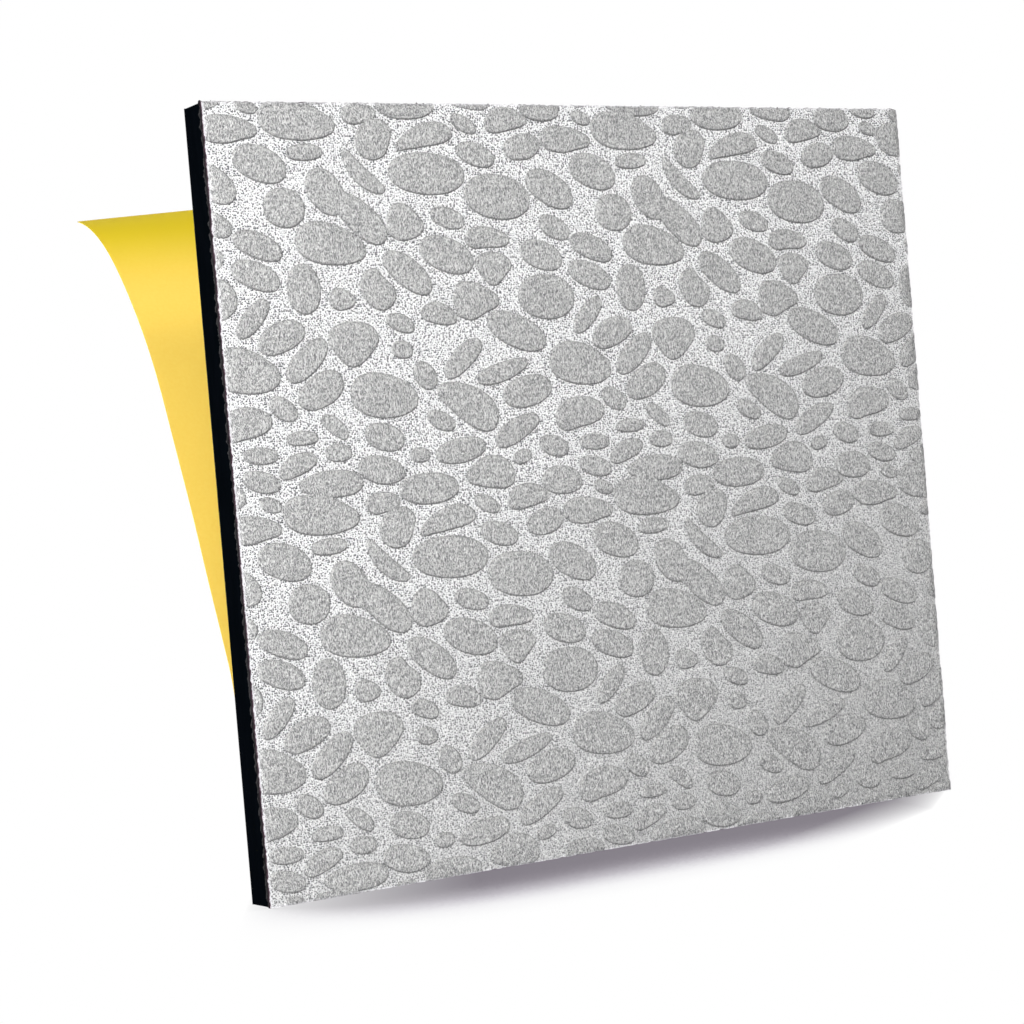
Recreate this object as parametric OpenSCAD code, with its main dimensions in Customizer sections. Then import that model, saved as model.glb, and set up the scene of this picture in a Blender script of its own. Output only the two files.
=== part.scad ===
// Felt acoustic panel: a pebbled felt face, bonded to a foam core with an adhesive back,
// whose release liner is peeled part of the way down. Millimetres.
// X runs along the width, Z up the height, and the felt faces -Y.
// The adhesive face lies at y = 0 and is centred on the origin.

/* [Panel] */

// Width of the panel
panel_w = 300; // [200:10:600]
// Height of the panel
panel_h = 270; // [200:10:600]

/* [Layers] */

// Felt under the pebbles
felt_t = 2.2; // [1:0.1:5]
// Film that bonds the felt to the core
film_t = 0.4; // [0.1:0.1:1]
// Foam core
core_t = 11.6; // [5:0.1:40]
// Coat of adhesive on the core's back
adhesive_t = 0.2; // [0.1:0.1:0.5]

/* [Pebbles] */

// How far the pebbles stand out of the felt
pebble_rise = 0.8; // [0.3:0.1:2]
// Repeat of the pebble pattern, the same both ways
pattern_repeat = 134.3; // [100:0.1:200]
// Turn of the pattern on the felt
pattern_turn = -1.35; // [-5:0.05:5]
// Squareness of the pebbles, 1 for plain ovals
pebble_power = 0.94; // [0.6:0.02:1]

/* [Release liner] */

// Thickness of the liner
liner_t = 0.25; // [0.1:0.05:0.5]
// Height up the left edge where the liner leaves the back
peel_height = 63; // [20:1:200]
// Slope of the line where it leaves
peel_slope = 5; // [1:0.5:15]
// Length of liner past the top edge, for the fingers
finger_margin = 17; // [0:1:30]
// Angle at which the liner leaves the back
lift_angle = 21; // [5:1:60]
// Length of liner that bends to that angle
lift_run = 20; // [5:1:60]
// Length of liner before it curls away further
curl_start = 40; // [20:1:100]
// Angle of the liner at its free end
curl_angle = 78; // [30:1:150]
// How late in its length the curl comes
curl_power = 3.1; // [1:0.1:6]

/* [Hidden] */

// Planes between the layers, from the back to the front
core_back = -adhesive_t;
core_front = core_back - core_t;
film_front = core_front - film_t;
felt_front = film_front - felt_t;
pebble_front = felt_front - pebble_rise;

// The pebbles of one repeat, in rows from its foot up, each row from left to right:
// centre x and y, half its length, half its width, turn, taper and bend.
// A taper above 0 makes the end at its turn the wider one, and a bend above 0
// lets both ends droop. Where a side is hollowed or flattened, two more values follow:
// the angle round the pebble, from its turn, and how far the side is pushed in there.
pebbles = [
    [20.2, 2.2, 12.7, 4.8, 0, 0.1, 0, 142, 0.9],
    [40.3, 5.9, 9.6, 5, -13, 0, 0.3, 322, 1.3],
    [58.4, -1.1, 12.2, 5.6, 1, 0, 0],
    [83.9, 3, 10.2, 6, -3, 0.15, 1.6, 130, 0.9],
    [113.6, -0.7, 8.8, 5.2, -3, 0, 0.4],
    [128.4, 3.9, 7.3, 3.7, -14, 0, 0],
    [8, 8.8, 8, 3.7, 22, 0, 0.8],
    [23.8, 12.6, 5.4, 3.2, -2, 0, 0.3],
    [55.8, 10.7, 4.2, 2.8, 0, 0, 0],
    [72.3, 11.7, 10.6, 4.5, 9, 0, 0],
    [97.5, 8.5, 4.4, 2.6, 15, 0, 0],
    [111.2, 11.9, 6.6, 3.8, -16, 0, 0],
    [128.7, 12.7, 6.8, 3, -2, 0, 0],
    [10.4, 18, 6.4, 2.6, 2, 0, 0.3],
    [23.2, 21.6, 6.3, 2.9, -38, 0, 0.4],
    [42.2, 17.4, 8.1, 4.8, -14, 0, 0],
    [65.1, 22.4, 6.2, 3.3, -24, 0, 0],
    [76.4, 27.7, 13.8, 6.5, -30, 0.28, 1.2],
    [96.2, 18.1, 10.5, 4.2, 27, -0.1, 0.5],
    [123.2, 23, 10.9, 6, 11, -0.15, 0.9, 262, 0.9],
    [4, 28.2, 6, 3.7, -32, 0, 0],
    [18.6, 34, 9.7, 5.7, 28, 0.1, 0],
    [43.2, 31.6, 13.5, 7.8, -8, -0.15, 0],
    [59.8, 38.3, 5.7, 4.2, -50, 0, 0],
    [101.4, 31.8, 10.6, 5.7, 12, 0, 0],
    [124.8, 41.1, 13.6, 7.8, -9.5, -0.1, 0.5, 55, 1.3],
    [14.1, 44.4, 10.2, 4.7, 42, 0, 0],
    [32, 49.6, 8.1, 9.3, 86, 0.5, 0, 46, 1.4],
    [51.2, 47.4, 4.5, 3.2, -8, 0, 0.3],
    [75.6, 44, 10, 4.1, 40, 0, 0.4],
    [91.6, 39.2, 11.5, 3.5, 17, -0.1, -0.4],
    [5, 52.2, 9.5, 5.2, 22, 0, 0.6],
    [51.2, 56.7, 6, 3.2, -20, 0, 0.3],
    [67, 59.5, 7.6, 4, -10, 0, 1],
    [98.4, 53.3, 13, 6, -22, 0, 0],
    [129, 58.8, 8.7, 3.7, 47, 0, 0],
    [14.6, 68.7, 8.8, 6.5, 92, 0, 0],
    [29.3, 65, 5.2, 3.8, -8, -0.3, 0],
    [43.3, 68.5, 7.8, 6.5, -52, 0, 0, 100, 1.9],
    [55.4, 74.2, 11.2, 5.3, -36, 0, 0.2],
    [82.4, 64.2, 9.8, 6.7, -2, -0.4, -0.3, 300, 1.7],
    [111.9, 65.5, 12, 8.2, -3, 0, 0],
    [131, 73.2, 9.6, 4.7, -20, 0, 0.3],
    [71.5, 80.5, 11.4, 6.2, -18, 0, 0],
    [90.4, 75.4, 6.1, 7, 86, 0.5, 0, 245, 0.8],
    [110.7, 80.5, 9.3, 5.2, -17, 0, 0],
    [132.5, 83.3, 9.8, 4.5, -20, 0, 0.3],
    [26, 83.8, 13.9, 7.2, -10, -0.2, 0.3],
    [88.6, 86.2, 9.4, 4.2, -1, -0.2, 0.5, 268, 0.7],
    [117, 90.5, 7.1, 4, -25, 0, 0],
    [9, 96.2, 8, 6.9, -5, 0, 0],
    [25.3, 101.9, 9.2, 6.6, -50, 0, 0],
    [37.4, 93.6, 13.2, 5.6, -40, 0.15, 0],
    [55.8, 91.6, 7.6, 6.5, -12, -0.3, 0, 55, 1],
    [72.8, 93.5, 7.3, 3.7, -15, 0, 0],
    [93.7, 101.2, 13.8, 8.1, -6, 0, 0],
    [116, 104.3, 10.8, 6, -27, 0, 0.4],
    [0.8, 110.9, 10.4, 6.2, -18, 0, 0.3],
    [39.9, 108.8, 10.9, 3.2, -43, 0.1, -2.1],
    [65.4, 108.9, 15.5, 7.5, -2, 0, 0],
    [18, 115.2, 7.2, 3, 4, 0, 0.2],
    [45.3, 120.4, 7.9, 6.9, 38, 0, 0, 307, 1.8],
    [64.9, 121.4, 12, 4.1, 15, 0.3, 1.8],
    [85.8, 116, 8.2, 4.2, -16, 0, 0],
    [105.5, 119.3, 8.1, 4.8, 12, 0, 0],
    [124, 122.2, 11.2, 5, -2, -0.2, 0, 302, 1.2],
    [15.9, 126, 14.9, 6.9, -6, -0.2, 0, 42, 0.8],
    [39.9, 129.1, 7, 3.8, 6, -0.2, 0.3],
    [81.6, 126.8, 5.8, 2.9, -26, 0, 0],
    [99.2, 128.3, 9.2, 4.4, 8, -0.2, 1.6, 30, 0.9],
    [131.3, 130.4, 4.5, 2.6, -18, 0, 0],
];

// A power that keeps the sign
function signed_pow(v, power) = sign(v) * pow(abs(v), power);

// Points of a pebble's outline, fewer on a small one, with one of them where it is pushed in
function outline(p) =
    let (
        count = round(5.5 + 0.4 * p[2]),
        hollow = is_undef(p[7]) ? 180 / count : p[7],
        depth = is_undef(p[8]) ? 0 : p[8]
    )
    [for (i = [0 : count - 1])
        let (
            a = hollow + 360 * i / count,
            push = depth * pow(max(0, cos(a - hollow)), 8),
            length = p[2] - push * abs(cos(a)),
            width = p[3] - push * abs(sin(a)),
            along = length * signed_pow(cos(a), pebble_power),
            side = width * signed_pow(sin(a), pebble_power) * (1 + p[5] * cos(a)),
            across = side + p[6] * (0.5 - pow(cos(a), 2))
        )
        [p[0] + along * cos(p[4]) - across * sin(p[4]),
         p[1] + along * sin(p[4]) + across * cos(p[4])]];

// Repeats that reach past each side of the panel
repeats = ceil(max(panel_w, panel_h) / 2 / pattern_repeat);

// A pebble's centre on the panel, in the repeat i across and j up
function centre(p, i, j) =
    let (x = p[0] + i * pattern_repeat, y = p[1] + j * pattern_repeat)
    [x * cos(pattern_turn) - y * sin(pattern_turn),
     x * sin(pattern_turn) + y * cos(pattern_turn)];

// Whether a pebble reaches the panel, and whether it lies wholly inside it
function reaches(p, c) =
    abs(c[0]) < panel_w / 2 + p[2] && abs(c[1]) < panel_h / 2 + p[2];
function inside(p, c) =
    abs(c[0]) < panel_w / 2 - p[2] - 1 && abs(c[1]) < panel_h / 2 - p[2] - 1;

// A slab as wide and high as the panel, from the plane y = back to the plane y = front
module slab(back, front) {
    translate([-panel_w / 2, front, -panel_h / 2])
        cube([panel_w, back - front, panel_h]);
}

// Pads of the pebbles, drawn seen from the front, rooted half way into the felt
module pads(whole) {
    root = felt_t / 2;
    translate([0, felt_front + root, 0])
        rotate([90, 0, 0])
            linear_extrude(root + pebble_rise)
                rotate(pattern_turn)
                    for (i = [-repeats - 1 : repeats], j = [-repeats - 1 : repeats], p = pebbles)
                        if (reaches(p, centre(p, i, j)) && inside(p, centre(p, i, j)) == whole)
                            translate([i, j] * pattern_repeat)
                                polygon(outline(p));
}

module face_felt() {
    color([0.74, 0.74, 0.73]) {
        union() {
            slab(film_front, felt_front);
            pads(true);
            intersection() {
                slab(film_front, pebble_front - 1);
                pads(false);
            }
        }
    }
}

module bond_film() {
    color([0.22, 0.1, 0.15])
        slab(core_front, film_front);
}

module foam_core() {
    color([0.03, 0.03, 0.05])
        slab(core_back, core_front);
}

module adhesive_layer() {
    color([0.12, 0.12, 0.13])
        slab(0, core_back);
}

// Length of liner that is free, measured square to the line where it leaves the back
free_run = (panel_h + finger_margin - peel_height) * cos(peel_slope);
// Drop in that length from the left edge to the right edge
side_drop = panel_w * sin(peel_slope);

// Distances from that line at which the curl is drawn: evenly up to the liner's right
// corner, and evenly on to its left corner
rows_up = 38;
rows_top = 8;
right_run = free_run - side_drop;
runs = concat(
    [for (i = [0 : rows_up]) right_run * i / rows_up],
    [for (i = [1 : rows_top]) right_run + side_drop * i / rows_top]
);
last = len(runs) - 1;

// Angle of the free liner to the back, at a distance from the line where it leaves
function lift_at(run) =
    lift_angle * min(run / lift_run, 1)
    + (curl_angle - lift_angle)
      * pow(max(0, (run - curl_start) / (free_run - curl_start)), curl_power);

// Section of the curl: height along the back and distance off it, summed row by row
function section(i = 0, up = 0, off = 0) =
    let (
        length = runs[min(i + 1, last)] - runs[min(i, last)],
        middle = lift_at(runs[min(i, last)] + length / 2)
    )
    i > last ? [] :
    concat([[up, off]],
           section(i + 1, up + length * cos(middle), off + length * sin(middle)));

curl = section();

// Where a row enters the liner at its left edge, and where it ends at the right edge or
// at the top edge. The last row is only as long as the liner is thick.
function row_start(run) = run * tan(peel_slope);
function row_end(run) =
    let (
        at_side = (panel_w + run * sin(peel_slope)) / cos(peel_slope),
        at_top = row_start(run) + (free_run - run) / cos(peel_slope) / sin(peel_slope)
    )
    max(row_start(run) + liner_t, min(at_side, at_top));

// A point of the curled liner, on row i at a place along the row, and out from the face
// that was stuck down
function liner_point(i, along, out) =
    let (angle = lift_at(runs[i]), up = curl[i][0] - out * sin(angle))
    [-panel_w / 2 + along * cos(peel_slope) - up * sin(peel_slope),
     curl[i][1] + out * cos(angle),
     -panel_h / 2 + peel_height + along * sin(peel_slope) + up * cos(peel_slope)];

// One flat strip up to the line where the liner leaves, then one for each row of the curl
module release_liner() {
    side = panel_w / 2;
    foot = -panel_h / 2;
    foot_row = [
        [-side, 0, foot],
        [side, 0, foot],
        [side, liner_t, foot],
        [-side, liner_t, foot],
    ];
    curl_rows = [for (i = [0 : last])
        [liner_point(i, row_start(runs[i]), 0),
         liner_point(i, row_end(runs[i]), 0),
         liner_point(i, row_end(runs[i]), liner_t),
         liner_point(i, row_start(runs[i]), liner_t)]];
    strips = [for (i = [0 : last], k = [0 : 3])
        [4 * i + k, 4 * i + 4 + k, 4 * i + 4 + (k + 1) % 4, 4 * i + (k + 1) % 4]];
    ends = [[0, 1, 2, 3], [for (k = [3 : -1 : 0]) 4 * (last + 1) + k]];
    color([0.97, 0.8, 0.25])
        polyhedron([for (row = concat([foot_row], curl_rows), point = row) point],
                   concat(strips, ends));
}

face_felt();
bond_film();
foam_core();
adhesive_layer();
release_liner();
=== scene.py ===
import math

import bpy
import numpy as np
from mathutils import Matrix, Vector
from mathutils.geometry import delaunay_2d_cdt


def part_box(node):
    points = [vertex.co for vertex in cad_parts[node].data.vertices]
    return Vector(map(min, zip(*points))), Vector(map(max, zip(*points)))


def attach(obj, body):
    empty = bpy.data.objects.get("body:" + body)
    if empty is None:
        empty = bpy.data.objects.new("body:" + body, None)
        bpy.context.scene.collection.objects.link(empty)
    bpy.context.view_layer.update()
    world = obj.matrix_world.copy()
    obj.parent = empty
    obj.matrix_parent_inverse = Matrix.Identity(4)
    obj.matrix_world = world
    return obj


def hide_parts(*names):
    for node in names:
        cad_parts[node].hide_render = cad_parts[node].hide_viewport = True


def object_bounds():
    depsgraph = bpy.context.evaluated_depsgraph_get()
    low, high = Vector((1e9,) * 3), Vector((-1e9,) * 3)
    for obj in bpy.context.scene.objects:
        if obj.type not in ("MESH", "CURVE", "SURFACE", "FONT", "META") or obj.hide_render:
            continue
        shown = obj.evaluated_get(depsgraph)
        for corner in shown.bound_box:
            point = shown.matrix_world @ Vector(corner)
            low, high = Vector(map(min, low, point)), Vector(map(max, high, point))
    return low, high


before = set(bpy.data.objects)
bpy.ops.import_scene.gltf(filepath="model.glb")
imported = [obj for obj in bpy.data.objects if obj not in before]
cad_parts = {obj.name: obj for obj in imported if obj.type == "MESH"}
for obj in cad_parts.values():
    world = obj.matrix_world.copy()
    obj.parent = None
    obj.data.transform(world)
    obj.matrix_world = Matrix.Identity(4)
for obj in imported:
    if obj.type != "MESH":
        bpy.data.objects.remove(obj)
cadLow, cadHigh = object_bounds()

mm = 0.001
scene = bpy.context.scene


# small tools

def linear(code):    # an sRGB hex colour as the linear one that shaders take
    parts = [int(code[i:i + 2], 16) / 255 for i in (1, 3, 5)]
    return tuple(c / 12.92 if c <= 0.04045 else ((c + 0.055) / 1.055) ** 2.4 for c in parts) + (1,)


def addNode(tree, kind, inputs=None, stops=None, **settings):
    # adds a node, sets it, and fills its inputs with values or with other nodes' outputs
    node = tree.nodes.new(kind)
    for name, value in settings.items():
        setattr(node, name, value)
    for key, value in (inputs or {}).items():
        if isinstance(value, bpy.types.NodeSocket):
            tree.links.new(value, node.inputs[key])
        else:
            node.inputs[key].default_value = value
    if stops:    # a colour ramp's places and colours
        ramp = node.color_ramp.elements
        while len(ramp) < len(stops):
            ramp.new(0.5)
        for element, (place, colour) in zip(ramp, stops):
            element.position = place
            element.color = colour
    return node


def newMaterial(name):    # an empty node tree with its output, and the object's own coordinates
    material = bpy.data.materials.new(name)
    material.use_nodes = True
    tree = material.node_tree
    tree.nodes.clear()
    out = addNode(tree, "ShaderNodeOutputMaterial")
    place = addNode(tree, "ShaderNodeTexCoord").outputs["Object"]
    return material, tree, out, place


def perMetre(x, y, z):    # a Mapping scale at which one unit of pattern is x, y and z millimetres
    return (1 / (x * mm), 1 / (y * mm), 1 / (z * mm))


def ripple(points, size, seed, waves=28):
    # Smooth noise of about unit strength: a sum of sine waves with random directions and
    # lengths near size, in metres.
    draw = np.random.default_rng(seed)
    heading = draw.normal(size=(3, waves))
    heading /= np.linalg.norm(heading, axis=0)
    length = size * draw.uniform(0.7, 1.8, waves)
    phase = draw.uniform(0, 2 * np.pi, waves)
    return np.sin(points @ (heading * 2 * np.pi / length) + phase).sum(1) * math.sqrt(2 / waves)


def makePiece(name, points, faces, material):
    # a smooth-shaded mesh on the part's one body, with its material and slot
    mesh = bpy.data.meshes.new(name)
    mesh.from_pydata(points.tolist(), [], faces)
    mesh.polygons.foreach_set("use_smooth", [True] * len(mesh.polygons))
    mesh.materials.append(material)
    mesh.update()
    piece = bpy.data.objects.new(name, mesh)
    scene.collection.objects.link(piece)
    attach(piece, "root")
    return piece


def ringFaces(rings):
    # Quads between rings of vertex numbers, one ring a row, each ring closed.
    here, after = rings[:-1], rings[1:]
    quads = np.stack([here, np.roll(here, -1, 1), np.roll(after, -1, 1), after], -1)
    return quads.reshape(-1, 4)


def edgesOf(piece):    # the two vertex numbers of each edge
    edges = np.empty(len(piece.data.edges) * 2, np.int32)
    piece.data.edges.foreach_get("vertices", edges)
    return edges.reshape(-1, 2)


def storeNumber(piece, name, values):    # one number for each vertex, for the material to read
    attribute = piece.data.attributes.new(name, "FLOAT", "POINT")
    attribute.data.foreach_set("value", np.asarray(values, np.float32))


# camera

cameraPlace = {
    "at": (-0.5088, -0.7730, -0.0038),    # metres, left of the panel and level with its middle
    "azimuth": 31.5, "elevation": -1.1, "roll": -4.8,    # degrees
    "lens": 88.0,    # mm on a 36 mm sensor
    "shiftUp": 0.03,
}


def addCamera():
    data = bpy.data.cameras.new("camera")
    data.sensor_width = 36
    data.lens = cameraPlace["lens"]
    data.shift_y = cameraPlace["shiftUp"]
    camera = bpy.data.objects.new("camera", data)
    scene.collection.objects.link(camera)
    turn, rise, roll = (math.radians(cameraPlace[k]) for k in ("azimuth", "elevation", "roll"))
    ahead = Vector((math.sin(turn) * math.cos(rise), math.cos(turn) * math.cos(rise), math.sin(rise)))
    flat = ahead.cross(Vector((0, 0, 1))).normalized()
    over = flat.cross(ahead)
    right = math.cos(roll) * flat + math.sin(roll) * over
    up = -math.sin(roll) * flat + math.cos(roll) * over
    axes = Matrix((right, up, -ahead)).transposed().to_4x4()
    camera.matrix_world = Matrix.Translation(cameraPlace["at"]) @ axes
    scene.camera = camera


addCamera()
print("camera placed")


# studio: floor, white surroundings and lamps

studio = {
    "floorSize": 8.0,    # metres
    "ambient": 0.09,     # strength of the white surroundings on the object
    "shadowReach": 0.1,  # metres
    # the painted shadow's colours, by the share of the sky that the paper sees
    "shadow": [(0.70, "#87828a"), (0.72, "#918b94"), (0.765, "#ada8af"), (0.83, "#dad7de"),
               (0.90, "#ffffff")],
    # its left end, right end and the corner at the right: slant, and metres across where the shadow
    # is gone and where it is full
    "shadowEnds": [(-0.55, -0.152, -0.062), (-1.9, 0.203, 0.138), (-1.08, 0.163, 0.130)],
    "shadowFade": 0.6,   # power by which it comes in from an end
    "lamps": {           # place, size and watts; each lamp points at the panel
        "sheenBox": ((1.27, -2.65, 0.30), (1.7, 0.95), 20.0),
        "keyBox": ((-0.55, -0.60, 0.65), (0.15, 0.15), 4.6),
        "sideBox": ((-0.80, -0.50, 0.05), (0.2, 0.2), 4.0),
        "topBox": ((0.45, -0.55, 0.85), (0.2, 0.2), 3.0),
        "linerBox": ((-0.90, 0.03, 0.02), (0.1, 0.4), 3.5),
        "backBox": ((0.9, 1.4, 0.15), (0.8, 0.8), 30.0),
    },
}


def addStudio():
    size = studio["floorSize"] / 2
    corners = [(-size, -size), (size, -size), (size, size), (-size, size)]
    mesh = bpy.data.meshes.new("floor")
    mesh.from_pydata([(x, y, cadLow.z) for x, y in corners], [], [(0, 1, 2, 3)])
    floor = bpy.data.objects.new("floor", mesh)
    scene.collection.objects.link(floor)

    # Matt white paper, which the camera sees as white. Its soft shadow is a painted shadow in that
    #  white, darker where the panel closes off the sky above the paper, and it slants and fades at both
    #  ends, as from a lamp at the back on the right.
    material, tree, out, place = newMaterial("whitePaperFloor")
    paper = addNode(tree, "ShaderNodeBsdfDiffuse", {"Color": linear("#f4f4f6")})
    sky = addNode(tree, "ShaderNodeAmbientOcclusion", {"Distance": studio["shadowReach"]}, samples=16)
    shade = addNode(tree, "ShaderNodeValToRGB", {0: sky.outputs["AO"]},
                    stops=[(share, linear(code)) for share, code in studio["shadow"]])
    spot = addNode(tree, "ShaderNodeSeparateXYZ", {0: place})
    least = 1.0
    for slant, none, full in studio["shadowEnds"]:
        across = addNode(tree, "ShaderNodeMath", {0: spot.outputs["Y"], 1: slant, 2: spot.outputs["X"]},
                         operation="MULTIPLY_ADD")
        end = addNode(tree, "ShaderNodeMapRange", {0: across.outputs[0], 1: none, 2: full,
                                                   3: 0.0, 4: 1.0})
        least = addNode(tree, "ShaderNodeMath", {0: end.outputs[0], 1: least},
                        operation="MINIMUM").outputs[0]
    least = addNode(tree, "ShaderNodeMath", {0: least, 1: studio["shadowFade"]}, operation="POWER")
    tone = addNode(tree, "ShaderNodeMix", {0: least.outputs[0], 6: (1, 1, 1, 1), 7: shade.outputs[0]},
                   data_type="RGBA")
    glow = addNode(tree, "ShaderNodeEmission", {"Color": tone.outputs[2], "Strength": 1.0})
    ray = addNode(tree, "ShaderNodeLightPath")
    both = addNode(tree, "ShaderNodeMixShader", {0: ray.outputs["Is Camera Ray"], 1: paper.outputs[0],
                                                 2: glow.outputs[0]})
    tree.links.new(both.outputs[0], out.inputs["Surface"])
    mesh.materials.append(material)

    world = bpy.data.worlds.new("studio")
    scene.world = world
    world.use_nodes = True
    tree = world.node_tree
    tree.nodes.clear()
    ray = addNode(tree, "ShaderNodeLightPath")
    seen = addNode(tree, "ShaderNodeMath", {0: ray.outputs["Is Camera Ray"],
                                            1: ray.outputs["Is Glossy Ray"]}, operation="MAXIMUM")
    seen = addNode(tree, "ShaderNodeMath", {0: seen.outputs[0], 1: ray.outputs["Is Transmission Ray"]},
                   operation="MAXIMUM")
    strength = addNode(tree, "ShaderNodeMix", {0: seen.outputs[0], 2: studio["ambient"], 3: 1.0})
    white = addNode(tree, "ShaderNodeBackground", {"Color": (1, 1, 1, 1), "Strength": strength.outputs[0]})
    end = addNode(tree, "ShaderNodeOutputWorld")
    tree.links.new(white.outputs[0], end.inputs["Surface"])

    for name, (at, span, watts) in studio["lamps"].items():
        data = bpy.data.lights.new(name, "AREA")
        data.shape = "RECTANGLE"
        data.size, data.size_y = span
        data.energy = watts
        lamp = bpy.data.objects.new(name, data)
        lamp.location = at
        lamp.rotation_euler = (-Vector(at)).to_track_quat("-Z", "Y").to_euler()
        scene.collection.objects.link(lamp)

    scene.view_settings.view_transform = "Standard"


addStudio()
print("studio ready")


# felt facing: padded pebbles pressed into a needled felt

felt = {
    "smallest": 1.0,       # square mm, the smallest part of a pad that is made at the border
    "rimSpacing": 1.2,     # mm between points round a pad
    "cusp": 25,            # degrees that a rim turns back by, where two pads have merged
    # a pad's edge: mm in from its outline, and share of its rise at that place
    "edge": [(0, 0), (0.20, 0.42), (0.45, 0.78), (0.75, 0.94), (1.2, 1.0)],
    # painted shade at the foot of a pad at those places, and the side where that painted shadow is darkest
    "paintedFootShade": [1.0, 0.9, 0.4, 0.1, 0], "pushed": (0.6, -0.8),
    "paintedShadeAllRound": 0.3,    # share of it that is there on every side
    "crown": 0.22, "crownReach": 2.4,    # mm that a pad swells inside its rim, and mm in which it does
    "grid": 2.3,           # mm between points within the pads and over the ground
    "gridClear": 0.8, "gridShift": 0.3,    # mm from them to a rim, and share of grid that they move
    "borderSpacing": 0.8, "borderClear": 0.3,    # mm between points of the cut border, and to a rim
    "cutRise": 0.25, "cutReach": 3.0,     # share of their rise that pads keep at the cut, and mm to full
    # the cut border: mm out from the panel's outline, and share of the way back to the film
    "side": [(0.08, 0.16), (0.10, 0.45), (0.0, 0.8), (-0.15, 1.0)],
    "wave": 0.05, "waveSize": 26,         # mm of unevenness over the face, and its length
    "ragged": 0.11, "raggedSize": 2.2,    # mm that the cut border wanders, and its length
    "fineRagged": 0.6, "fineSize": 0.7,   # share of that as finer wandering, and its length in mm
    "raggedBand": 0.4,     # mm in from the border that wander with it
    "cutSink": 0.1,        # mm that the face sinks at the very cut
    "fringe": 1.2,         # mm in from the cut where fibres that stand up look pale
    "sideDark": (-14.6, -12.6),    # y in mm where the cut side starts to darken, and is near black
}
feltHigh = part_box("face_felt")[1]
half = np.array([feltHigh.x, feltHigh.z])    # half the panel's width and height
weld = 0.002 * mm     # corners of a CAD node this near are one
level = 0.004 * mm    # two places this near are at one depth, or both on the border


def mergedMesh(node):
    # a CAD node's corners, each once, and its triangles
    corners = np.empty(len(node.data.vertices) * 3, np.float32)
    node.data.vertices.foreach_get("co", corners)
    node.data.calc_loop_triangles()
    triangles = np.empty(len(node.data.loop_triangles) * 3, np.int32)
    node.data.loop_triangles.foreach_get("vertices", triangles)
    rounded = np.round(corners.reshape(-1, 3) / weld).astype(np.int64)
    once, which = np.unique(rounded, axis=0, return_inverse=True)
    return once * weld, which.reshape(-1)[triangles].reshape(-1, 3)


def areaOf(corners):    # by the shoelace formula
    after = np.roll(corners, -1, 0)
    return abs((corners[:, 0] * after[:, 1] - corners[:, 1] * after[:, 0]).sum()) / 2


def outlinesAt(points, triangles, depth):
    # The outlines of the flat faces at a depth. An edge used one way only is on an outline, and
    # every outline is walked at the same time from its lowest corner. Slivers are left out.
    top = triangles[(np.abs(points[triangles][:, :, 1] - depth) < level).all(1)]
    edges = np.concatenate([top[:, [0, 1]], top[:, [1, 2]], top[:, [2, 0]]])
    count = len(points)
    alone = ~np.isin(edges[:, 0] * count + edges[:, 1], edges[:, 1] * count + edges[:, 0])
    edges = edges[alone]
    after = np.arange(count)
    after[edges[:, 0]] = edges[:, 1]
    lowest, jump = np.arange(count), after.copy()
    for doubling in range(9):    # 2 to the power 9 is more than the corners of any outline
        lowest = np.minimum(lowest, lowest[jump])
        jump = jump[jump]
    first = np.unique(lowest[edges[:, 0]])
    walk = [first]
    for step in range(300):    # and so is 300
        walk.append(after[walk[-1]])
    walk = np.array(walk)
    lengths = (walk[1:] == first).argmax(0) + 1
    outlines = [points[walk[:n, i]][:, [0, 2]] for i, n in enumerate(lengths)]
    return [corners for corners in outlines if areaOf(corners) > felt["smallest"] * mm * mm]


def onBorder(flat):
    return np.abs(np.abs(flat) - half) < level


def smoothRim(corners, spacing, stiff):
    # A closed curve through an outline's corners (centripetal Catmull-Rom), cut into steps of
    # about the spacing. It is straight on the panel's border and where it is stiff, and it keeps
    # the sharp notch where two pads have merged.
    p1, p2 = corners, np.roll(corners, -1, 0)
    straight = (onBorder(p1) & onBorder(p2)).any(1) | stiff
    to, on = p1 - np.roll(corners, 1, 0), p2 - p1
    turn = np.arctan2(to[:, 0] * on[:, 1] - to[:, 1] * on[:, 0], (to * on).sum(1))
    notch = turn < -math.radians(felt["cusp"])
    p0 = np.where((np.roll(straight, 1) | notch)[:, None], 2 * p1 - p2, np.roll(corners, 1, 0))
    p3 = np.where((np.roll(straight, -1) | np.roll(notch, -1))[:, None], 2 * p2 - p1,
                  np.roll(corners, -2, 0))
    steps = np.maximum(1, np.round(np.linalg.norm(on, axis=1) / spacing)).astype(int)
    piece = np.repeat(np.arange(len(corners)), steps)
    share = (np.arange(steps.sum()) - np.repeat(np.cumsum(steps) - steps, steps)) / steps[piece]
    share = share[:, None]
    p0, p1, p2, p3, straight = p0[piece], p1[piece], p2[piece], p3[piece], straight[piece]
    knots = [np.sqrt(np.linalg.norm(b - a, axis=1) + 1e-9)[:, None] for a, b in
             ((p0, p1), (p1, p2), (p2, p3))]
    t1, gap = knots[0], knots[1]
    t2 = t1 + gap
    t3 = t2 + knots[2]
    t = t1 + share * gap
    a1 = p0 * (t1 - t) / t1 + p1 * t / t1
    a2 = p1 * (t2 - t) / gap + p2 * (t - t1) / gap
    a3 = p2 * (t3 - t) / knots[2] + p3 * (t - t2) / knots[2]
    b1 = a1 * (t2 - t) / t2 + a2 * t / t2
    b2 = a2 * (t3 - t) / (t3 - t1) + a3 * (t - t1) / (t3 - t1)
    curve = b1 * (t2 - t) / gap + b2 * (t - t1) / gap
    return np.clip(np.where(straight[:, None], p1 + share * (p2 - p1), curve), -half, half)


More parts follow.
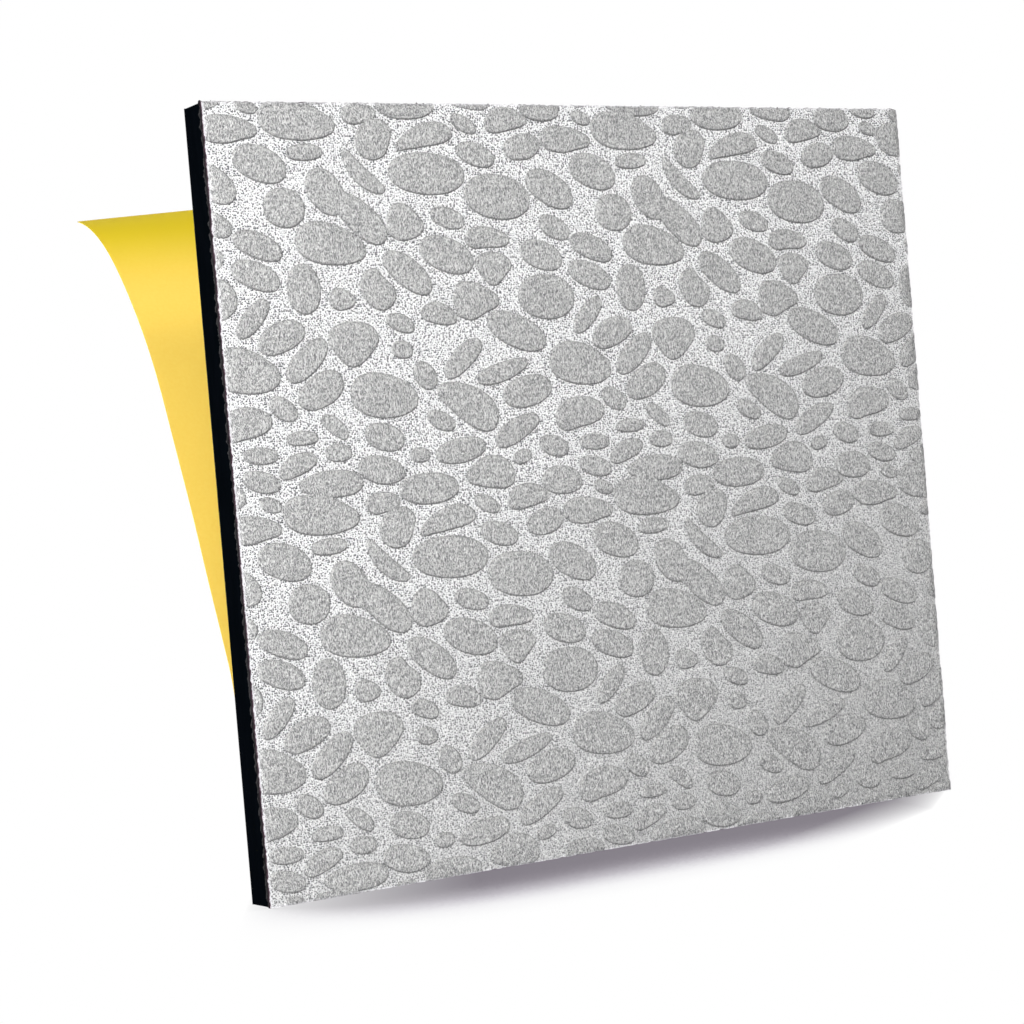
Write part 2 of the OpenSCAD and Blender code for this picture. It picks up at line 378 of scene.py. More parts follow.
def inward(rim, reach):
    # How far each point of a rim moves in, as a vector: square to the rim, by reach, or by less
    # where the pad is narrow (0.8 of the largest circle that touches the rim there and stays
    # inside). On the panel's border a point goes along it at the ends, and stays between them.
    before, after = np.roll(rim, 1, 0), np.roll(rim, -1, 0)
    along = (after - before) / (np.linalg.norm(after - before, axis=1)[:, None] + 1e-12)
    way = np.stack([-along[:, 1], along[:, 0]], 1)
    here = onBorder(rim)
    edgeBefore = (here & onBorder(before)).any(1)
    edgeAfter = (here & onBorder(after)).any(1)
    toBefore = (before - rim) / (np.linalg.norm(before - rim, axis=1)[:, None] + 1e-12)
    toAfter = (after - rim) / (np.linalg.norm(after - rim, axis=1)[:, None] + 1e-12)
    way = np.where(edgeBefore[:, None], toBefore, way)
    way = np.where(edgeAfter[:, None], toAfter, way)
    way[edgeBefore & edgeAfter] = 0
    across = rim[None] - rim[:, None]
    facing = (across * way[:, None]).sum(2)
    circle = np.where(facing > 1e-9, (across ** 2).sum(2) / np.maximum(2 * facing, 1e-12), np.inf).min(1)
    room = np.minimum(reach, 0.8 * circle)
    room = np.minimum(room, np.minimum(np.roll(room, 1), np.roll(room, -1)))
    return way * room[:, None]


def distanceTo(some, others):    # from each point to the nearest of the others
    return np.concatenate([np.linalg.norm(part[:, None] - others, axis=2).min(1)
                           for part in np.array_split(some, len(some) // 150 + 1)])


def triangulate(flat, loops, within):
    # Triangles over flat points that keep the edges of the loops, either within the loops or
    # outside them, and the places where loops cross.
    made = delaunay_2d_cdt([Vector(p) for p in (flat / mm).tolist()], [], loops, 0, 1e-4, True)
    places, triangles, sources, inLoops = made[0], made[2], made[3], made[5]
    crossings = [place for place, source in zip(places, sources) if not source]
    number = np.array([source[0] if source else -1 for source in sources])
    kept = [triangle for triangle, inside in zip(triangles, inLoops) if bool(inside) == within]
    return number[np.array(kept)], np.array(crossings).reshape(-1, 2) * mm


def numbered(loops, first=0):    # lists of successive numbers, as long as each of the loops
    ends = first + np.cumsum([len(loop) for loop in loops])
    return [list(range(end - len(loop), end)) for loop, end in zip(loops, ends)]


def smoothRims(outlines):
    # Smooth rims, which go back to the straight edges wherever two of them would cross.
    stiff = [np.zeros(len(corners), bool) for corners in outlines]
    for attempt in range(6):
        rims = [smoothRim(corners, felt["rimSpacing"] * mm, some) for corners, some in zip(outlines, stiff)]
        crossings = triangulate(np.concatenate(rims), numbered(rims), False)[1]
        print("rims", len(rims), "crossings", len(crossings))
        if not len(crossings):
            break
        for corners, some in zip(outlines, stiff):
            after = np.roll(corners, -1, 0)
            span = np.linalg.norm(after - corners, axis=1)[:, None] + 0.3 * mm
            near = ((np.linalg.norm(corners[:, None] - crossings, axis=2) < span)
                    & (np.linalg.norm(after[:, None] - crossings, axis=2) < span))
            some |= near.any(1)
    return rims


def borderPoints(rims):
    # Points at even steps round the panel, without those on a pad's own stretch of the border.
    lines = []
    for axis in (0, 1):
        count = int(round(2 * half[1 - axis] / (felt["borderSpacing"] * mm))) + 1
        along = np.linspace(-half[1 - axis], half[1 - axis], count)
        for side in (-half[axis], half[axis]):
            line = [np.full(count, side), along]
            lines.append(np.stack(line if axis == 0 else line[::-1], 1))
    points = np.unique(np.round(np.concatenate(lines), 7), axis=0)
    starts = np.concatenate(rims)
    ends = np.concatenate([np.roll(rim, -1, 0) for rim in rims])
    along = (onBorder(starts) & onBorder(ends)).any(1)
    starts, ends = starts[along], ends[along]
    longer = (np.linalg.norm(points[:, None] - starts, axis=2)
              + np.linalg.norm(points[:, None] - ends, axis=2) - np.linalg.norm(ends - starts, axis=1))
    points = points[(longer > 0.001 * mm).all(1)]
    return points[distanceTo(points, np.concatenate(rims)) > felt["borderClear"] * mm]


def buildFelt():
    # A pad's height over the ground is its rise times the edge profile, on rings moved in from its
    # rim. Inside the last ring it is the rise and a swell, which grows with the distance to the
    # rims as one less a bell curve of it. The ground is flat between the rims, and the cut border
    # is its outline carried back to the film.
    points, triangles = mergedMesh(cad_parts["face_felt"])
    levels = np.unique(np.round(points[:, 1] / (0.01 * mm))) * 0.01 * mm
    padLevel, groundLevel, backLevel = levels[0], levels[1], levels[-1]
    rise = groundLevel - padLevel
    rims = smoothRims(outlinesAt(points, triangles, padLevel))

    # rings round every pad, from its foot up to its rim
    share, lift = np.array(felt["edge"]).T
    moves = [inward(rim, share[-1] * mm) for rim in rims]
    rings = [[rim + move * inBy / share[-1] for rim, move in zip(rims, moves)] for inBy in share]
    count = sum(len(rim) for rim in rims)
    flat = np.concatenate([np.concatenate(ring) for ring in rings])
    height = np.repeat(lift * rise, count)
    loops = numbered(rims)
    following = np.concatenate([np.roll(loop, -1) for loop in loops])
    here = np.arange(count)
    walls = [np.stack([here, following, following + count, here + count], 1) + count * ring
             for ring in range(len(share) - 1)]
    walls = np.concatenate(walls)

    # points inside the pads and over the ground
    gap = felt["grid"] * mm
    across = np.arange(-half[0] + gap / 2, half[0], gap)
    up = np.arange(-half[1] + gap / 2, half[1], gap)
    grid = np.stack(np.meshgrid(across, up), -1).reshape(-1, 2)
    grid += np.random.default_rng(5).uniform(-felt["gridShift"], felt["gridShift"], grid.shape) * gap
    lastRing = np.concatenate(rings[-1])
    away = distanceTo(grid, np.concatenate([flat[:count], lastRing]))
    clear = away > felt["gridClear"] * mm
    grid, away = grid[clear], away[clear]
    border = borderPoints(rims)

    top = triangulate(np.concatenate([lastRing, grid]), loops, True)[0]
    onTop = np.isin(np.arange(len(grid)) + count, top)
    swell = felt["crown"] * mm * (1 - np.exp(-(away / (felt["crownReach"] * mm)) ** 2))
    top = np.where(top < count, top + count * (len(share) - 1), top - count + len(flat))
    ground, crossings = triangulate(np.concatenate([flat[:count], grid, border]), loops, False)
    ground = np.where(ground < count, ground, ground - count + len(flat))
    flat = np.concatenate([flat, grid, border])
    height = np.concatenate([height, np.where(onTop, rise + swell, 0), np.zeros(len(border))])
    print("pads", len(top), "ground", len(ground), "triangles,", len(crossings), "crossings")

    # the cut border, carried round the panel from the ground back to the film
    front = np.union1d(np.arange(count), np.arange(len(flat) - len(border), len(flat)))
    front = front[onBorder(flat[front]).any(1)]
    front = front[np.argsort(np.arctan2(flat[front, 1] / half[1], flat[front, 0] / half[0]))]
    out = np.where(onBorder(flat[front]), np.sign(flat[front]), 0)
    depth = backLevel - groundLevel
    points = [np.stack([flat[:, 0], groundLevel - height, flat[:, 1]], 1)]
    sides = [front]
    for outBy, back in felt["side"]:
        ring = flat[front] + out * outBy * mm
        sides.append(np.arange(len(front)) + len(flat) + len(front) * (len(sides) - 1))
        points.append(np.stack([ring[:, 0], np.full(len(ring), groundLevel + depth * back), ring[:, 1]], 1))
    points = np.concatenate(points)
    sideWalls = ringFaces(np.array(sides)[::-1])

    # pads pressed down by the cut, unevenness of the face, and the wandering cut
    toBorder = (half - np.abs(points[:, [0, 2]])).min(1)
    kept = felt["cutRise"] + (1 - felt["cutRise"]) * np.clip(toBorder / (felt["cutReach"] * mm), 0, 1)
    points[:, 1] = groundLevel + (points[:, 1] - groundLevel) * np.where(points[:, 1] < groundLevel, kept, 1)
    inBand = half - np.abs(points[:, [0, 2]]) < felt["raggedBand"] * mm
    isBorder = np.where(inBand, np.sign(points[:, [0, 2]]), 0)
    frontShare = np.clip((backLevel - points[:, 1]) / depth, 0, 1)
    points[:, 1] -= felt["wave"] * mm * ripple(points, felt["waveSize"] * mm, 11) * frontShare
    wander = ripple(points, felt["raggedSize"] * mm, 12)
    wander += felt["fineRagged"] * ripple(points, felt["fineSize"] * mm, 13)
    points[:, [0, 2]] += isBorder * (wander * felt["ragged"] * mm)[:, None]
    points[:, 1] += felt["cutSink"] * mm * (toBorder < 0.05 * mm) * frontShare

    atEdge = onBorder(flat).any(1)
    faces = walls.tolist() + top.tolist() + ground.tolist() + sideWalls.tolist() + [sides[-1][::-1].tolist()]
    look = np.concatenate([np.where(atEdge[walls].all(1), 2, 0), np.zeros(len(top)), np.ones(len(ground)),
                           np.full(len(sideWalls) + 1, 2)])
    used = np.zeros(len(points), bool)
    used[np.concatenate([walls.ravel(), top.ravel(), ground.ravel(), sideWalls.ravel()])] = True
    renumber = np.cumsum(used) - 1
    faces = [renumber[face].tolist() for face in faces]
    isFoot = np.arange(len(points)) < count
    isFoot[front] = True
    piece = makePiece("feltFacing", points[used], faces, combedPads())
    piece.data.materials.append(pressedGround())
    piece.data.materials.append(cutFelt())
    # painted shade round the foot of each pad, darkest on its lower right side as a painted shadow
    paintedFootShade = np.zeros(len(points))
    away = -np.concatenate(moves) / (np.linalg.norm(np.concatenate(moves), axis=1)[:, None] + 1e-12)
    least = felt["paintedShadeAllRound"]
    side = np.clip(least + (1 - least) * away @ np.array(felt["pushed"]), 0, 1)
    paintedFootShade[:count * len(share)] = (np.array(felt["paintedFootShade"])[:, None] * side).ravel()
    storeNumber(piece, "paintedFootShade", paintedFootShade[used])
    piece.data.polygons.foreach_set("material_index", look.astype(np.int32))
    piece.data.edges.foreach_set("use_edge_sharp", isFoot[used][edgesOf(piece)].all(1))
    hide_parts("face_felt")
    print("felt facing made,", sum(len(face) - 2 for face in faces), "triangles")
    return piece


def fibreStrokes(tree, place, width, length, shift):
    # Curly fibres seen from above: bright lines where a noise stretched up the panel crosses its
    # middle value. Gives 0 between the fibres and 1 on them.
    spot = addNode(tree, "ShaderNodeMapping", {"Vector": place, "Scale": perMetre(width, width, length),
                                               "Location": (shift, 0, shift)})
    noise = addNode(tree, "ShaderNodeTexNoise", {"Vector": spot.outputs[0], "Scale": 1.0, "Detail": 1.5,
                                                 "Roughness": 0.55})
    off = addNode(tree, "ShaderNodeMath", {0: noise.outputs["Fac"], 1: -0.5}, operation="ADD")
    off = addNode(tree, "ShaderNodeMath", {0: off.outputs[0]}, operation="ABSOLUTE")
    line = addNode(tree, "ShaderNodeMapRange", {0: off.outputs[0], 1: 0.0, 2: 0.05, 3: 1.0, 4: 0.0})
    return line.outputs[0]


def feltFibres(tree, place):
    # A mat of fibres as one number from about 0 to 1: two layers of strokes over a soft unevenness.
    # Real fibres are about 0.03 mm wide, and these are drawn several times as wide so that they show.
    one = fibreStrokes(tree, place, 0.9, 2.0, 0.0)
    two = fibreStrokes(tree, place, 0.58, 1.3, 37.0)
    soft = addNode(tree, "ShaderNodeMapping", {"Vector": place, "Scale": perMetre(0.45, 0.45, 0.9)})
    soft = addNode(tree, "ShaderNodeTexNoise", {"Vector": soft.outputs[0], "Scale": 1.0, "Detail": 2.0})
    strokes = addNode(tree, "ShaderNodeMath", {0: one, 1: two}, operation="MAXIMUM")
    mixed = addNode(tree, "ShaderNodeMix", {0: 0.45, 2: soft.outputs["Fac"], 3: strokes.outputs[0]})
    return mixed.outputs[0]


def paleFringe(tree, place, fibres, colour):
    # A colour that turns white in ragged steps next to the cut, where fibres stand up.
    spot = addNode(tree, "ShaderNodeVectorMath", {0: place}, operation="ABSOLUTE")
    spot = addNode(tree, "ShaderNodeVectorMath", {0: spot.outputs[0], 1: (half[0], 0, half[1])},
                   operation="SUBTRACT")
    spot = addNode(tree, "ShaderNodeSeparateXYZ", {0: spot.outputs[0]})
    past = addNode(tree, "ShaderNodeMath", {0: spot.outputs["X"], 1: spot.outputs["Z"]}, operation="MAXIMUM")
    near = addNode(tree, "ShaderNodeMapRange", {0: past.outputs[0], 1: -felt["fringe"] * mm, 2: 0.0,
                                                3: -0.8, 4: 0.2})
    near = addNode(tree, "ShaderNodeMath", {0: near.outputs[0], 1: fibres}, operation="ADD", use_clamp=True)
    return addNode(tree, "ShaderNodeMix", {0: near.outputs[0], 6: colour, 7: linear("#e4e2e6")},
                   data_type="RGBA").outputs[2]


def combedPads():
    # Polyester felt of the raised pads: matt, with its fibres lying mostly up the panel. Its colour
    #  has painted shade round the foot of each pad, as a painted shadow that is strongest on the lower
    #  right.
    material, tree, out, place = newMaterial("combedFeltPads")
    fibres = feltFibres(tree, place)
    colour = addNode(tree, "ShaderNodeValToRGB", {0: fibres},
                     stops=[(0.15, linear("#5a5a5d")), (0.42, linear("#aaaaa9")), (0.8, linear("#ececea"))])
    # painted shade at the foot of each pad, darkened towards a dark grey
    paintedFootShade = addNode(tree, "ShaderNodeAttribute", attribute_name="paintedFootShade").outputs["Fac"]
    footShaded = addNode(tree, "ShaderNodeMath", {0: paintedFootShade, 1: 0.7}, operation="MULTIPLY")
    colour = addNode(tree, "ShaderNodeMix", {0: footShaded.outputs[0], 6: colour.outputs[0],
                                             7: linear("#3a3a3c")}, data_type="RGBA")
    colour = paleFringe(tree, place, fibres, colour.outputs[2])
    bump = addNode(tree, "ShaderNodeBump", {"Height": fibres, "Strength": 1.0, "Distance": 0.2 * mm})
    shader = addNode(tree, "ShaderNodeBsdfPrincipled", {
        "Base Color": colour, "Roughness": 0.95, "IOR": 1.57, "Specular IOR Level": 0.25,
        "Normal": bump.outputs[0]})
    tree.links.new(shader.outputs[0], out.inputs["Surface"])
    return material


def pressedGround():
    # The same felt pressed hot round the pads, with open needle holes, which are dull. Its colour is a
    #  painted sheen: a pale skin, strongest at the upper left, that fades to plain felt towards the lower
    #  right, with the needle holes in it painted dark as shade in the pits; the skin is also glossier there.
    #  The holes are drawn up to 0.8 mm wide, which is coarser than real ones, so that they show.
    material, tree, out, place = newMaterial("pressedFeltGround")
    fibres = feltFibres(tree, place)
    punched = addNode(tree, "ShaderNodeMapping", {"Vector": place, "Scale": perMetre(0.8, 0.8, 0.74),
                                                  "Rotation": (math.pi / 2, 0, 0)})
    cells = addNode(tree, "ShaderNodeTexVoronoi", {"Vector": punched.outputs[0], "Scale": 1.0,
                                                   "Randomness": 0.88}, voronoi_dimensions="2D")
    size = addNode(tree, "ShaderNodeMath", {0: cells.outputs["Color"], 1: 0.4,
                                            2: cells.outputs["Distance"]}, operation="MULTIPLY_ADD")
    hole = addNode(tree, "ShaderNodeMapRange", {0: size.outputs[0], 1: 0.42, 2: 0.56, 3: 1.0, 4: 0.0})
    paintedSheenSkin = addNode(tree, "ShaderNodeValToRGB", {0: fibres},
                   stops=[(0.15, linear("#b0b0b2")), (0.42, linear("#dedede")), (0.8, linear("#f8f8f6"))])
    paintedSheenSkin = addNode(tree, "ShaderNodeMix", {0: hole.outputs[0], 6: paintedSheenSkin.outputs[0], 7: linear("#4a4a4e")},
                   data_type="RGBA")
    soft = addNode(tree, "ShaderNodeValToRGB", {0: fibres},
                   stops=[(0.15, linear("#4c4c4e")), (0.42, linear("#929291")), (0.8, linear("#d2d2d0"))])
    # painted sheen: the colour goes from the pale skin at the upper left to plain felt at the lower right
    slope = addNode(tree, "ShaderNodeVectorMath", {0: place, 1: (0.45, 0, -0.8)}, operation="DOT_PRODUCT")
    paintedSheenAndGloss = addNode(tree, "ShaderNodeMapRange", {0: slope.outputs["Value"], 1: -0.03, 2: 0.20,
                                                 3: 1.0, 4: 0.0})
    colour = addNode(tree, "ShaderNodeMix", {0: paintedSheenAndGloss.outputs[0], 6: soft.outputs[0], 7: paintedSheenSkin.outputs[2]},
                     data_type="RGBA")
    colour = paleFringe(tree, place, fibres, colour.outputs[2])
    hole = addNode(tree, "ShaderNodeMath", {0: hole.outputs[0], 1: paintedSheenAndGloss.outputs[0]}, operation="MULTIPLY")
    dull = addNode(tree, "ShaderNodeMath", {0: paintedSheenAndGloss.outputs[0], 1: -0.6, 2: 0.6}, operation="MULTIPLY_ADD")
    dull = addNode(tree, "ShaderNodeMath", {0: dull.outputs[0], 1: hole.outputs[0]}, operation="MAXIMUM")
    rough = addNode(tree, "ShaderNodeMapRange", {0: dull.outputs[0], 1: 0.0, 2: 1.0, 3: 0.40, 4: 0.95})
    deep = addNode(tree, "ShaderNodeMath", {0: hole.outputs[0], 1: -0.8}, operation="MULTIPLY")
    relief = addNode(tree, "ShaderNodeMath", {0: fibres, 1: 0.25, 2: deep.outputs[0]},
                     operation="MULTIPLY_ADD")
    bump = addNode(tree, "ShaderNodeBump", {"Height": relief.outputs[0], "Strength": 1.0,
                                            "Distance": 0.02 * mm})
    shader = addNode(tree, "ShaderNodeBsdfPrincipled", {
        "Base Color": colour, "Roughness": rough.outputs[0], "IOR": 1.57,
        "Specular IOR Level": 0.5, "Normal": bump.outputs[0]})
    tree.links.new(shader.outputs[0], out.inputs["Surface"])
    return material


def cutFelt():
    # The felt's cut side: base fibres soaked near black by the bond, maroon ones over them, and
    # light ones only next to the face.
    material, tree, out, place = newMaterial("cutFeltSide")
    fibres = feltFibres(tree, place)
    depth = addNode(tree, "ShaderNodeSeparateXYZ", {0: place}).outputs["Y"]
    shift = addNode(tree, "ShaderNodeMath", {0: fibres, 1: 1.0 * mm, 2: -0.5 * mm}, operation="MULTIPLY_ADD")
    ragged = addNode(tree, "ShaderNodeMath", {0: depth, 1: shift.outputs[0]}, operation="ADD")
    start, end = felt["sideDark"]
    below = addNode(tree, "ShaderNodeMapRange", {0: ragged.outputs[0], 1: start * mm, 2: end * mm,
                                                 3: 0.0, 4: 1.0})
    colour = addNode(tree, "ShaderNodeValToRGB", {0: below.outputs[0]}, stops=[
        (0.08, linear("#cfcacf")), (0.2, linear("#45303c")), (0.5, linear("#2c1a25")),
        (0.75, linear("#0a060a"))])
    bump = addNode(tree, "ShaderNodeBump", {"Height": fibres, "Strength": 1.0, "Distance": 0.15 * mm})
    shader = addNode(tree, "ShaderNodeBsdfPrincipled", {
        "Base Color": colour.outputs[0], "Roughness": 0.95, "IOR": 1.57, "Specular IOR Level": 0.2,
        "Normal": bump.outputs[0]})
    tree.links.new(shader.outputs[0], out.inputs["Surface"])
    return material


feltPiece = buildFelt()


# bond film and foam core: profiles carried round the panel

def panelOutline(spacing, corner):
    # Points round the panel at even steps, and the way out from each. The corners are arcs.
    straight = 2 * (half - corner)
    points, ways = [], []
    for quarter in range(4):
        wide = straight[1 - quarter % 2]
        turn = np.array([[math.cos(a), math.sin(a)] for a in
                         np.linspace(quarter * math.pi / 2, (quarter + 1) * math.pi / 2, 4)])
        steps = np.arange(1, int(round(wide / spacing))) / int(round(wide / spacing)) - 0.5
        out = turn[0]
        along = np.array([-out[1], out[0]])
        base = np.abs(out) @ half * out
        points.append(base + along * steps[:, None] * wide)
        ways.append(np.tile(out, (len(steps), 1)))
        centre = (half - corner) * np.sign(turn[0] + turn[-1])
        points.append(centre + corner * turn)
        ways.append(turn)
    return np.concatenate(points), np.concatenate(ways)


def carriedRound(name, profile, spacing, corner, wander, material):
    # A closed slab whose edge is the profile of (mm out, y in metres) carried round the panel;
    # wander gives each point's own way out, in metres.
    flat, way = panelOutline(spacing, corner)
    rings = []
    for outBy, y in profile:
        ring = flat + way * outBy * mm
        ring = np.stack([ring[:, 0], np.full(len(ring), y), ring[:, 1]], 1)
        moved = wander(ring)
        ring[:, [0, 2]] += way * moved[:, None]
        rings.append(ring)
    count = len(flat)
    numbers = np.arange(count * len(profile)).reshape(-1, count)
    faces = ringFaces(numbers).tolist()
    faces.append(numbers[0][::-1].tolist())
    faces.append(numbers[-1].tolist())
    return makePiece(name, np.concatenate(rings), faces, material)


# all in mm: steps round the panel, corner radius, wandering of the cut and its lengths
film = {
    "spacing": 0.5, "corner": 0.3, "ragged": 0.22, "raggedSizes": (1.6, 0.6),
    "overlap": 0.1,                  # into the felt
    "out": (-0.1, 0.1, 0.06, -0.3),  # how far its edge stands out, from the back to the front
}
foam = {"spacing": 1.2, "corner": 0.5, "softEdge": 0.15, "uneven": 0.05, "unevenSize": 16}


def meltFilm():
    # Hot-melt adhesive film, dark maroon: it ran a little when it bonded, so it is glossy in beads
    # of about 1 mm.
    material, tree, out, place = newMaterial("hotMeltFilm")
    spot = addNode(tree, "ShaderNodeMapping", {"Vector": place, "Scale": perMetre(1.1, 1.1, 1.1)})
    noise = addNode(tree, "ShaderNodeTexNoise", {"Vector": spot.outputs[0], "Scale": 1.0, "Detail": 3.0})
    colour = addNode(tree, "ShaderNodeValToRGB", {0: noise.outputs["Fac"]},
                     stops=[(0.35, linear("#050305")), (0.7, linear("#100810"))])
    bump = addNode(tree, "ShaderNodeBump", {"Height": noise.outputs["Fac"], "Distance": 0.1 * mm})
    shader = addNode(tree, "ShaderNodeBsdfPrincipled", {
        "Base Color": colour.outputs[0], "Roughness": 0.55, "IOR": 1.5, "Specular IOR Level": 0.3,
        "Normal": bump.outputs[0]})
    tree.links.new(shader.outputs[0], out.inputs["Surface"])
    return material


def cellFoam():
    # Closed-cell rubber foam, black with a cold cast, cut by a blade: matt, with cells of 0.4 mm.
    material, tree, out, place = newMaterial("closedCellFoam")
    cellsAt = addNode(tree, "ShaderNodeMapping", {"Vector": place, "Scale": perMetre(0.4, 0.4, 0.4)})
    cells = addNode(tree, "ShaderNodeTexVoronoi", {"Vector": cellsAt.outputs[0], "Scale": 1.0})
    broad = addNode(tree, "ShaderNodeMapping", {"Vector": place, "Scale": perMetre(9, 3, 14)})
    cloud = addNode(tree, "ShaderNodeTexNoise", {"Vector": broad.outputs[0], "Scale": 1.0, "Detail": 2.0})
    tone = addNode(tree, "ShaderNodeMix", {0: 0.35, 2: cloud.outputs["Fac"], 3: cells.outputs["Distance"]})
    colour = addNode(tree, "ShaderNodeValToRGB", {0: tone.outputs[0]},
                     stops=[(0.25, linear("#020406")), (0.75, linear("#05070b"))])
    bump = addNode(tree, "ShaderNodeBump", {"Height": cells.outputs["Distance"], "Strength": 0.5,
                                            "Distance": 0.08 * mm})
    shader = addNode(tree, "ShaderNodeBsdfPrincipled", {
        "Base Color": colour.outputs[0], "Roughness": 0.9, "IOR": 1.5, "Specular IOR Level": 0.0,
        "Normal": bump.outputs[0]})
    tree.links.new(shader.outputs[0], out.inputs["Surface"])
    return material


filmLow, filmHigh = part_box("bond_film")
foamLow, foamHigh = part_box("foam_core")

filmFront = filmLow.y - film["overlap"] * mm
filmDepths = (filmHigh.y, filmHigh.y * 0.6 + filmLow.y * 0.4, filmFront, filmFront)
filmPiece = carriedRound(
    "bondFilm", list(zip(film["out"], filmDepths)),
    film["spacing"] * mm, film["corner"] * mm,
    lambda ring: film["ragged"] * mm * (ripple(ring, film["raggedSizes"][0] * mm, 21)
                                        + 0.5 * ripple(ring, film["raggedSizes"][1] * mm, 22)),
    meltFilm())
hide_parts("bond_film")

soft = foam["softEdge"]
foamPiece = carriedRound(
    "foamCore",
    [(-soft, foamHigh.y), (-0.3 * soft, foamHigh.y - 0.3 * soft * mm), (0, foamHigh.y - soft * mm)]
    + [(0, foamHigh.y * (1 - t) + foamLow.y * t) for t in (0.2, 0.4, 0.6, 0.8)]
    + [(0, foamLow.y + 0.4 * soft * mm), (-0.4 * soft, foamLow.y)],
    foam["spacing"] * mm, foam["corner"] * mm,
    lambda ring: foam["uneven"] * mm * ripple(ring, foam["unevenSize"] * mm, 23),
    cellFoam())
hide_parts("foam_core")
print("film and foam made")


# adhesive coat: the CAD node itself, with its finish

def tackyCoat():
    # Clear acrylic adhesive rolled on the black foam: dark, with a soft gloss over coating lines
    # 1.8 mm apart and a faint orange peel.
    material, tree, out, place = newMaterial("clearTackyCoat")
    drawn = addNode(tree, "ShaderNodeMapping", {"Vector": place, "Scale": perMetre(1.8, 1.8, 60)})
    lines = addNode(tree, "ShaderNodeTexNoise", {"Vector": drawn.outputs[0], "Scale": 1.0, "Detail": 2.0})
    orange = addNode(tree, "ShaderNodeMapping", {"Vector": place, "Scale": perMetre(2.5, 2.5, 2.5)})
    peel = addNode(tree, "ShaderNodeTexNoise", {"Vector": orange.outputs[0], "Scale": 1.0, "Detail": 2.0})
    relief = addNode(tree, "ShaderNodeMix", {0: 0.5, 2: lines.outputs["Fac"], 3: peel.outputs["Fac"]})
    colour = addNode(tree, "ShaderNodeValToRGB", {0: peel.outputs["Fac"]},
                     stops=[(0.3, linear("#15161a")), (0.7, linear("#22242a"))])
    rough = addNode(tree, "ShaderNodeMapRange", {0: relief.outputs[0], 1: 0.3, 2: 0.7, 3: 0.5, 4: 0.7})
    bump = addNode(tree, "ShaderNodeBump", {"Height": relief.outputs[0], "Distance": 0.12 * mm})
    shader = addNode(tree, "ShaderNodeBsdfPrincipled", {
        "Base Color": colour.outputs[0], "Roughness": rough.outputs[0], "IOR": 1.47,
        "Specular IOR Level": 0.3, "Normal": bump.outputs[0]})
    tree.links.new(shader.outputs[0], out.inputs["Surface"])
    return material


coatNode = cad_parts["adhesive_layer"]
coatNode.data.materials.clear()
coatNode.data.materials.append(tackyCoat())


# release liner: a flat sheet, rolled off the back past a sloping line

liner = {
    "peelHeight": 63, "slope": 5, "margin": 17,    # mm up the left edge, degrees, mm past the top
    "lift": 21, "liftRun": 20,                     # degrees, and mm in which it reaches them
    "curlStart": 40, "curlEnd": 78, "curlPower": 3.1,    # mm, degrees, power
    "thick": 0.25, "inset": 0.35,                  # mm, and mm that its sides lie in from the foam's
    "columns": 90, "rows": 150,
    # a slight waviness of the free part: mm, its length, and mm in which it comes in
    "buckle": 0.25, "buckleSize": 70, "buckleRun": 60,
}


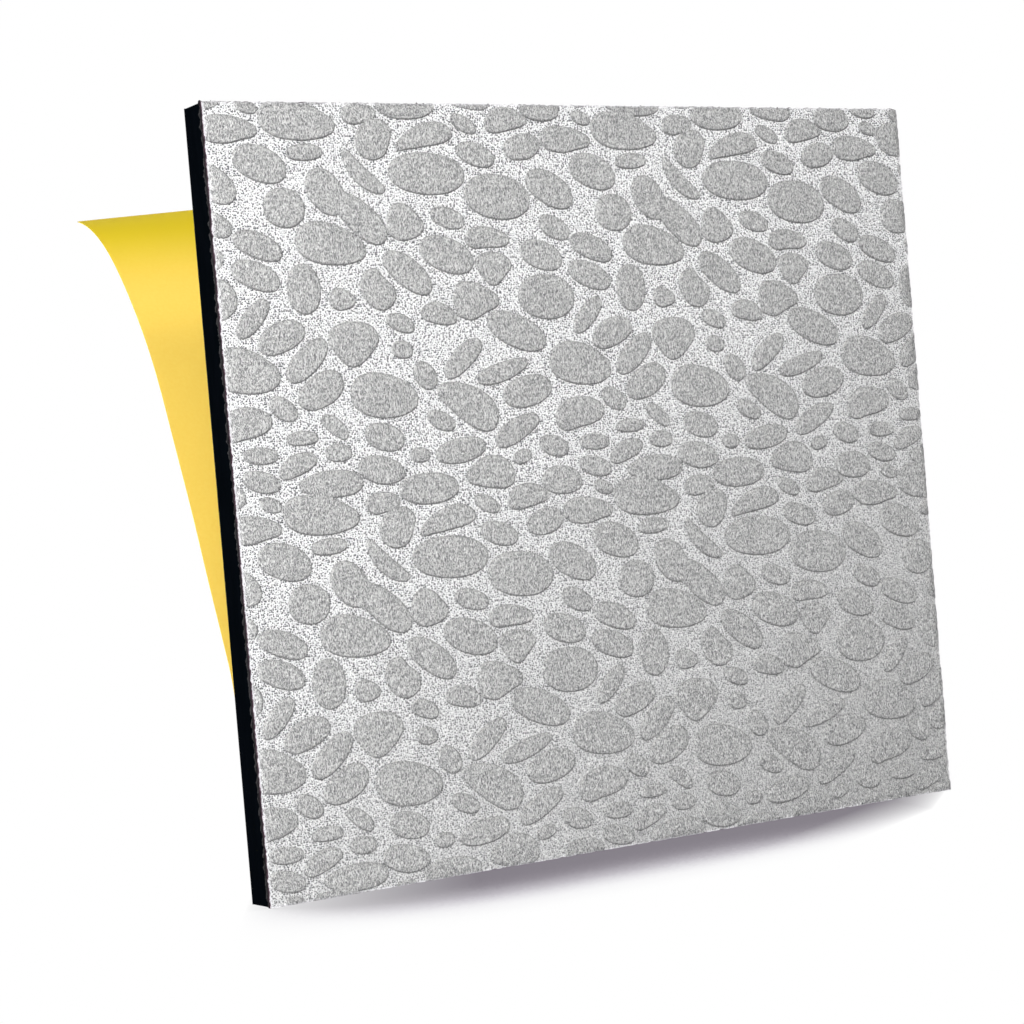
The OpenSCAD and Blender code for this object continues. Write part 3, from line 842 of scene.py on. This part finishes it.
def buildLiner():
    # A point of the sheet is (x, z) when flat. Its distance past the peel line, square to it, is
    # run. There the sheet's angle grows to lift over liftRun, and on from curlStart as a power of
    # run; the height and the offset of that curve are sums of its cosines and sines.
    slope = math.radians(liner["slope"])
    square = np.array([-math.sin(slope), math.cos(slope)])
    start = np.array([-half[0], -half[1] + liner["peelHeight"] * mm])
    top = half[1] + liner["margin"] * mm
    side = half[0] - liner["inset"] * mm
    x, z = np.meshgrid(np.linspace(-side, side, liner["columns"]),
                       np.linspace(-half[1], top, liner["rows"]))
    run = (x - start[0]) * square[0] + (z - start[1]) * square[1]
    longest = (top - start[1]) * square[1]
    table = np.linspace(0, longest, 1500)
    lift, end = math.radians(liner["lift"]), math.radians(liner["curlEnd"])
    late = np.clip((table - liner["curlStart"] * mm) / (longest - liner["curlStart"] * mm), 0, None)
    angle = lift * np.minimum(table / (liner["liftRun"] * mm), 1) + (end - lift) * late ** liner["curlPower"]
    step = table[1] - table[0]
    middle = (angle[1:] + angle[:-1]) / 2
    risen = np.concatenate([[0], np.cumsum(np.cos(middle)) * step])
    away = np.concatenate([[0], np.cumsum(np.sin(middle)) * step])
    free = np.clip(run, 0, None)
    moved = np.interp(free, table, risen) - free
    theta = np.interp(free, table, angle)
    front = np.stack([x + moved * square[0], np.interp(free, table, away), z + moved * square[1]], -1)
    normal = np.stack([-np.sin(theta) * square[0], np.cos(theta), -np.sin(theta) * square[1]], -1)
    wave = ripple(np.stack([x, 0 * x, z], -1).reshape(-1, 3), liner["buckleSize"] * mm, 31).reshape(x.shape)
    buckle = liner["buckle"] * mm * wave * np.clip(run / (liner["buckleRun"] * mm), 0, 1) ** 2
    front += normal * buckle[..., None]
    back = front + normal * liner["thick"] * mm
    rows, columns = x.shape
    count = rows * columns
    grid = np.arange(count).reshape(rows, columns)
    cell = np.stack([grid[:-1, :-1], grid[:-1, 1:], grid[1:, 1:], grid[1:, :-1]], -1).reshape(-1, 4)
    rim = np.concatenate([grid[0, :-1], grid[:-1, -1], grid[-1, :0:-1], grid[:0:-1, 0]])
    rimFaces = np.stack([np.roll(rim, -1), rim, rim + count, np.roll(rim, -1) + count], -1)
    faces = cell.tolist() + (cell[:, ::-1] + count).tolist() + rimFaces.tolist()
    points = np.concatenate([front.reshape(-1, 3), back.reshape(-1, 3)])
    piece = makePiece("releaseLiner", points, faces, siliconedPaper())
    edges = edgesOf(piece)
    isRim = np.zeros(2 * count, bool)
    isRim[rim] = True
    isRim[rim + count] = True
    sharp = isRim[edges].all(1) & ((edges[:, 0] < count) == (edges[:, 1] < count))
    piece.data.edges.foreach_set("use_edge_sharp", sharp)
    storeNumber(piece, "run", np.tile(run.ravel() / longest, 2))
    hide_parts("release_liner")
    print("liner made,", 2 * len(faces), "triangles")


def siliconedPaper():
    # Yellow release paper with a silicone coat: smooth, with a soft gloss over faint clumps of paper
    #  fibre, about 1.2 mm across. Towards the free end, where the sheet curls up away from the light,
    #  its colour has painted shade, darker and greener.
    material, tree, out, place = newMaterial("siliconedPaper")
    pulpAt = addNode(tree, "ShaderNodeMapping", {"Vector": place, "Scale": perMetre(1.2, 1.2, 1.2)})
    pulp = addNode(tree, "ShaderNodeTexNoise", {"Vector": pulpAt.outputs[0], "Scale": 1.0, "Detail": 4.0})
    colour = addNode(tree, "ShaderNodeValToRGB", {0: pulp.outputs["Fac"]},
                     stops=[(0.3, linear("#fdd65d")), (0.7, linear("#ffda63"))])
    run = addNode(tree, "ShaderNodeAttribute", attribute_name="run").outputs["Fac"]
    # painted shade over the curled free end of the sheet
    paintedCurlShade = addNode(tree, "ShaderNodeMapRange", {0: run, 1: 0.72, 2: 0.93, 3: 0.0, 4: 1.0},
                   interpolation_type="SMOOTHSTEP")
    colour = addNode(tree, "ShaderNodeMix", {0: paintedCurlShade.outputs[0], 6: colour.outputs[0],
                                             7: linear("#e9cd20")}, data_type="RGBA")
    bump = addNode(tree, "ShaderNodeBump", {"Height": pulp.outputs["Fac"], "Strength": 0.3,
                                            "Distance": 0.03 * mm})
    shader = addNode(tree, "ShaderNodeBsdfPrincipled", {
        "Base Color": colour.outputs[2], "Roughness": 0.55, "IOR": 1.45, "Specular IOR Level": 0.08,
        "Normal": bump.outputs[0]})
    tree.links.new(shader.outputs[0], out.inputs["Surface"])
    return material


buildLiner()
